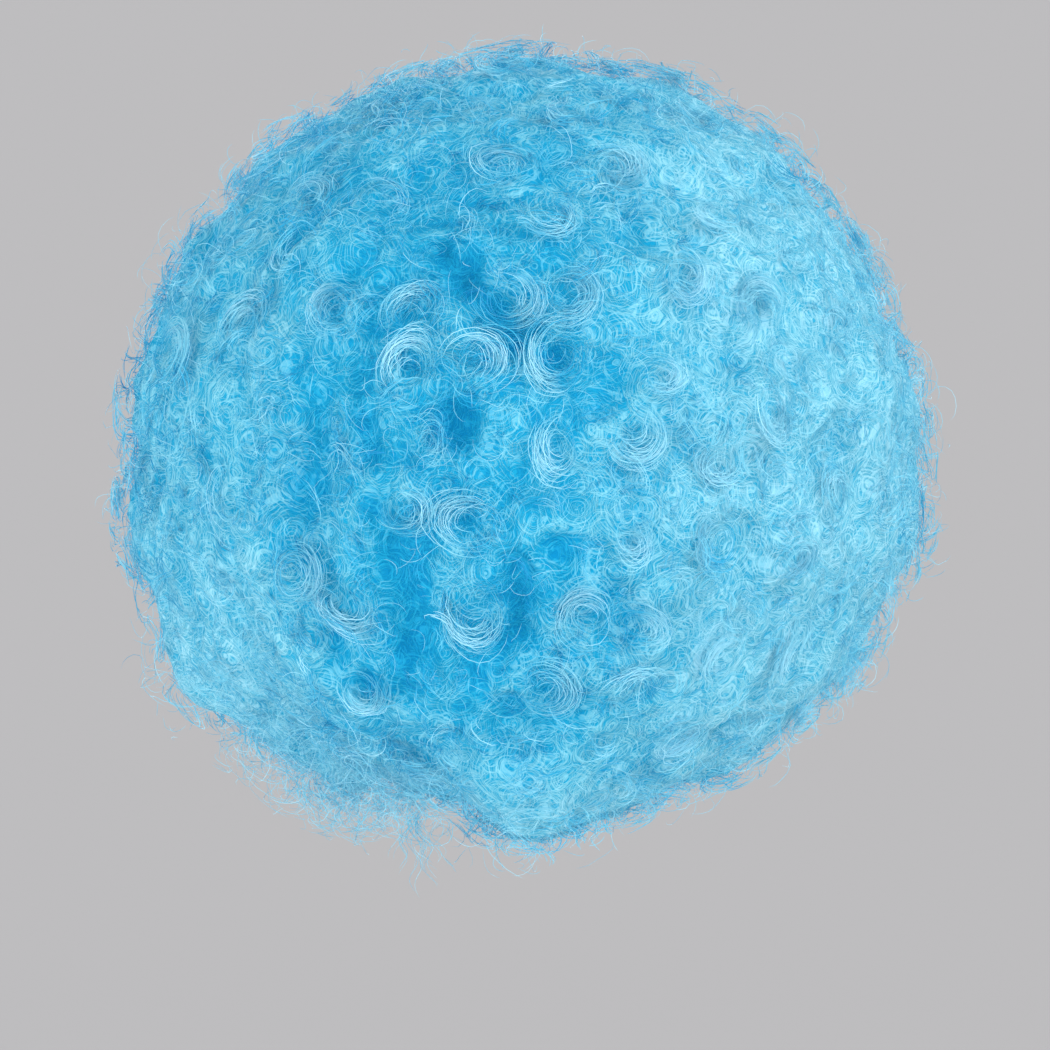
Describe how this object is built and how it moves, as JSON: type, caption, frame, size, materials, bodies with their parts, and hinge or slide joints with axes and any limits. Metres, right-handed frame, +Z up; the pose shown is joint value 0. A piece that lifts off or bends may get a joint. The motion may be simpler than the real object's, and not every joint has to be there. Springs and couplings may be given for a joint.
{
  "type": "afro wig",
  "caption": "Round afro wig of tight curls in rows over a stretch net cap with an elastic edge band, open below for the head and in front for the face, drawn in at the nape.",
  "frame": {"origin": "inside top of the net cap, where the crown of the head rests", "axes": "+Z up, face opening towards -Y, nape towards +Y, the wearer's left side towards +X"},
  "size_m": [0.3203, 0.325, 0.3142],
  "materials": {
    "hair": "fine glossy synthetic fibre, sky blue, curled",
    "net": "matt knitted stretch net with sewn hair bases",
    "elastic": "matt woven elastic with stitching"
  },
  "bodies": {
    "root": {"cap_crown": "net", "edge_band": "elastic", "cap_panel_1": "net", "cap_panel_2": "net", "cap_panel_3": "net", "cap_panel_4": "net", "cap_panel_5": "net", "cap_panel_6": "net", "cap_panel_7": "net", "cap_panel_8": "net", "hair_crown": "hair", "hair_row_1": "hair", "hair_row_2": "hair", "hair_row_3": "hair", "hair_row_4": "hair", "hair_row_5": "hair", "hair_row_6": "hair", "hair_row_7": "hair"}
  },
  "joints": []
}
